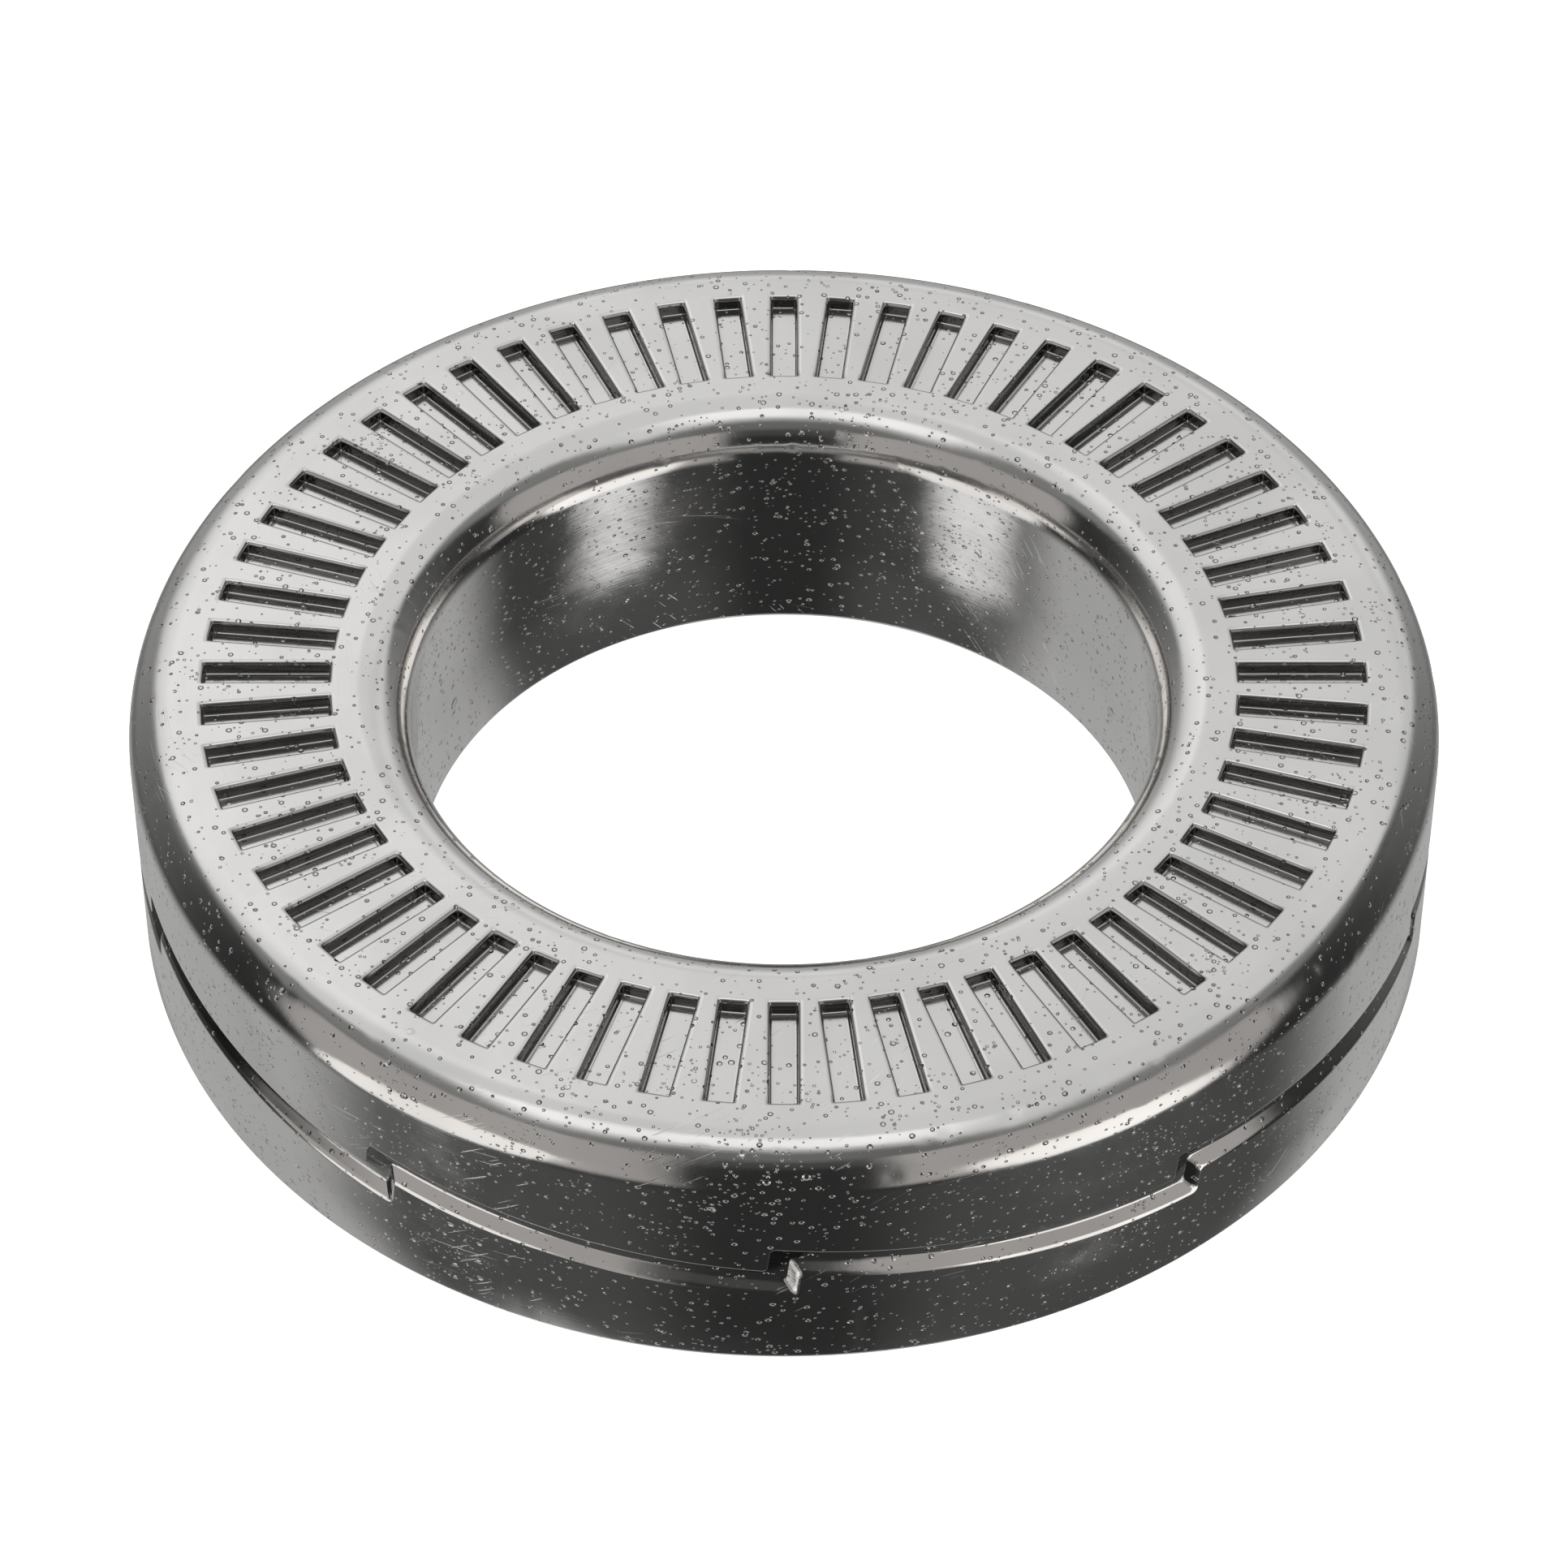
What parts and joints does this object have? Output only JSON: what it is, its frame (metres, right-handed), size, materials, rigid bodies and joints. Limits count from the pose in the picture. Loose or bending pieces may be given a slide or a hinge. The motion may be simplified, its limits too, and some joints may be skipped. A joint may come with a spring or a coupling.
{
  "type": "thrust ball bearing",
  "caption": "Enclosed thrust ball bearing ring with a radially pocketed thrust face, rounded rims, a long-hubbed bore and a sawtooth labyrinth slot between its two housings.",
  "frame": {"origin": "centre of the seat face, on the bearing's axis", "axes": "+Z along the axis towards the pocketed thrust face; -Y towards the front, through one pocket and one step of the sawtooth slot; +X to the right"},
  "size_m": [0.07, 0.07, 0.015],
  "materials": {
    "upper_housing_steel": "polished steel with fine scuffs, pits and short scratches",
    "lower_housing_steel": "polished steel with fine scuffs, pits and short scratches",
    "race_steel": "ground and lapped hardened steel",
    "ball_steel": "mirror-polished hardened steel",
    "cage_brass": "machined brass",
    "band_steel": "rolled steel strip, slightly dull",
    "seal_rubber": "matt moulded nitrile rubber",
    "spring_steel": "oiled dark spring steel"
  },
  "bodies": {
    "seat": {"lower_housing": "lower_housing_steel", "lower_race": "race_steel", "dust_band": "band_steel", "inner_seal": "seal_rubber"},
    "turning": {"upper_housing": "upper_housing_steel", "upper_race": "race_steel", "retaining_ring": "spring_steel"},
    "cage": {"ball_cage": "cage_brass"},
    "ball_01_body": {"ball_01": "ball_steel"},
    "ball_02_body": {"ball_02": "ball_steel"},
    "ball_03_body": {"ball_03": "ball_steel"},
    "ball_04_body": {"ball_04": "ball_steel"},
    "ball_05_body": {"ball_05": "ball_steel"},
    "ball_06_body": {"ball_06": "ball_steel"},
    "ball_07_body": {"ball_07": "ball_steel"},
    "ball_08_body": {"ball_08": "ball_steel"},
    "ball_09_body": {"ball_09": "ball_steel"},
    "ball_10_body": {"ball_10": "ball_steel"},
    "ball_11_body": {"ball_11": "ball_steel"},
    "ball_12_body": {"ball_12": "ball_steel"},
    "ball_13_body": {"ball_13": "ball_steel"},
    "ball_14_body": {"ball_14": "ball_steel"},
    "ball_15_body": {"ball_15": "ball_steel"},
    "ball_16_body": {"ball_16": "ball_steel"},
    "ball_17_body": {"ball_17": "ball_steel"},
    "ball_18_body": {"ball_18": "ball_steel"},
    "ball_19_body": {"ball_19": "ball_steel"},
    "ball_20_body": {"ball_20": "ball_steel"}
  },
  "joints": [
    {"name": "upper_spin", "type": "hinge", "parent": "seat", "child": "turning", "pos_m": [0, 0, 0.0075], "axis": [0, 0, 1], "continuous": true},
    {"name": "cage_spin", "type": "hinge", "parent": "seat", "child": "cage", "pos_m": [0, 0, 0.0075], "axis": [0, 0, 1], "continuous": true},
    {"name": "ball_01_roll", "type": "hinge", "parent": "cage", "child": "ball_01_body", "pos_m": [0.00438, -0.02766, 0.0075], "axis": [0.1564, -0.9877, 0], "continuous": true},
    {"name": "ball_02_roll", "type": "hinge", "parent": "cage", "child": "ball_02_body", "pos_m": [0.01271, -0.02495, 0.0075], "axis": [0.454, -0.891, 0], "continuous": true},
    {"name": "ball_03_roll", "type": "hinge", "parent": "cage", "child": "ball_03_body", "pos_m": [0.0198, -0.0198, 0.0075], "axis": [0.7071, -0.7071, 0], "continuous": true},
    {"name": "ball_04_roll", "type": "hinge", "parent": "cage", "child": "ball_04_body", "pos_m": [0.02495, -0.01271, 0.0075], "axis": [0.891, -0.454, 0], "continuous": true},
    {"name": "ball_05_roll", "type": "hinge", "parent": "cage", "child": "ball_05_body", "pos_m": [0.02766, -0.00438, 0.0075], "axis": [0.9877, -0.1564, 0], "continuous": true},
    {"name": "ball_06_roll", "type": "hinge", "parent": "cage", "child": "ball_06_body", "pos_m": [0.02766, 0.00438, 0.0075], "axis": [0.9877, 0.1564, 0], "continuous": true},
    {"name": "ball_07_roll", "type": "hinge", "parent": "cage", "child": "ball_07_body", "pos_m": [0.02495, 0.01271, 0.0075], "axis": [0.891, 0.454, 0], "continuous": true},
    {"name": "ball_08_roll", "type": "hinge", "parent": "cage", "child": "ball_08_body", "pos_m": [0.0198, 0.0198, 0.0075], "axis": [0.7071, 0.7071, 0], "continuous": true},
    {"name": "ball_09_roll", "type": "hinge", "parent": "cage", "child": "ball_09_body", "pos_m": [0.01271, 0.02495, 0.0075], "axis": [0.454, 0.891, 0], "continuous": true},
    {"name": "ball_10_roll", "type": "hinge", "parent": "cage", "child": "ball_10_body", "pos_m": [0.00438, 0.02766, 0.0075], "axis": [0.1564, 0.9877, 0], "continuous": true},
    {"name": "ball_11_roll", "type": "hinge", "parent": "cage", "child": "ball_11_body", "pos_m": [-0.00438, 0.02766, 0.0075], "axis": [-0.1564, 0.9877, 0], "continuous": true},
    {"name": "ball_12_roll", "type": "hinge", "parent": "cage", "child": "ball_12_body", "pos_m": [-0.01271, 0.02495, 0.0075], "axis": [-0.454, 0.891, 0], "continuous": true},
    {"name": "ball_13_roll", "type": "hinge", "parent": "cage", "child": "ball_13_body", "pos_m": [-0.0198, 0.0198, 0.0075], "axis": [-0.7071, 0.7071, 0], "continuous": true},
    {"name": "ball_14_roll", "type": "hinge", "parent": "cage", "child": "ball_14_body", "pos_m": [-0.02495, 0.01271, 0.0075], "axis": [-0.891, 0.454, 0], "continuous": true},
    {"name": "ball_15_roll", "type": "hinge", "parent": "cage", "child": "ball_15_body", "pos_m": [-0.02766, 0.00438, 0.0075], "axis": [-0.9877, 0.1564, 0], "continuous": true},
    {"name": "ball_16_roll", "type": "hinge", "parent": "cage", "child": "ball_16_body", "pos_m": [-0.02766, -0.00438, 0.0075], "axis": [-0.9877, -0.1564, 0], "continuous": true},
    {"name": "ball_17_roll", "type": "hinge", "parent": "cage", "child": "ball_17_body", "pos_m": [-0.02495, -0.01271, 0.0075], "axis": [-0.891, -0.454, 0], "continuous": true},
    {"name": "ball_18_roll", "type": "hinge", "parent": "cage", "child": "ball_18_body", "pos_m": [-0.0198, -0.0198, 0.0075], "axis": [-0.7071, -0.7071, 0], "continuous": true},
    {"name": "ball_19_roll", "type": "hinge", "parent": "cage", "child": "ball_19_body", "pos_m": [-0.01271, -0.02495, 0.0075], "axis": [-0.454, -0.891, 0], "continuous": true},
    {"name": "ball_20_roll", "type": "hinge", "parent": "cage", "child": "ball_20_body", "pos_m": [-0.00438, -0.02766, 0.0075], "axis": [-0.1564, -0.9877, 0], "continuous": true}
  ],
  "couplings": [
    {"joint": "cage_spin", "follows": "upper_spin", "ratio": 0.5},
    {"joint": "ball_01_roll", "follows": "upper_spin", "ratio": -5.6},
    {"joint": "ball_02_roll", "follows": "upper_spin", "ratio": -5.6},
    {"joint": "ball_03_roll", "follows": "upper_spin", "ratio": -5.6},
    {"joint": "ball_04_roll", "follows": "upper_spin", "ratio": -5.6},
    {"joint": "ball_05_roll", "follows": "upper_spin", "ratio": -5.6},
    {"joint": "ball_06_roll", "follows": "upper_spin", "ratio": -5.6},
    {"joint": "ball_07_roll", "follows": "upper_spin", "ratio": -5.6},
    {"joint": "ball_08_roll", "follows": "upper_spin", "ratio": -5.6},
    {"joint": "ball_09_roll", "follows": "upper_spin", "ratio": -5.6},
    {"joint": "ball_10_roll", "follows": "upper_spin", "ratio": -5.6},
    {"joint": "ball_11_roll", "follows": "upper_spin", "ratio": -5.6},
    {"joint": "ball_12_roll", "follows": "upper_spin", "ratio": -5.6},
    {"joint": "ball_13_roll", "follows": "upper_spin", "ratio": -5.6},
    {"joint": "ball_14_roll", "follows": "upper_spin", "ratio": -5.6},
    {"joint": "ball_15_roll", "follows": "upper_spin", "ratio": -5.6},
    {"joint": "ball_16_roll", "follows": "upper_spin", "ratio": -5.6},
    {"joint": "ball_17_roll", "follows": "upper_spin", "ratio": -5.6},
    {"joint": "ball_18_roll", "follows": "upper_spin", "ratio": -5.6},
    {"joint": "ball_19_roll", "follows": "upper_spin", "ratio": -5.6},
    {"joint": "ball_20_roll", "follows": "upper_spin", "ratio": -5.6}
  ]
}
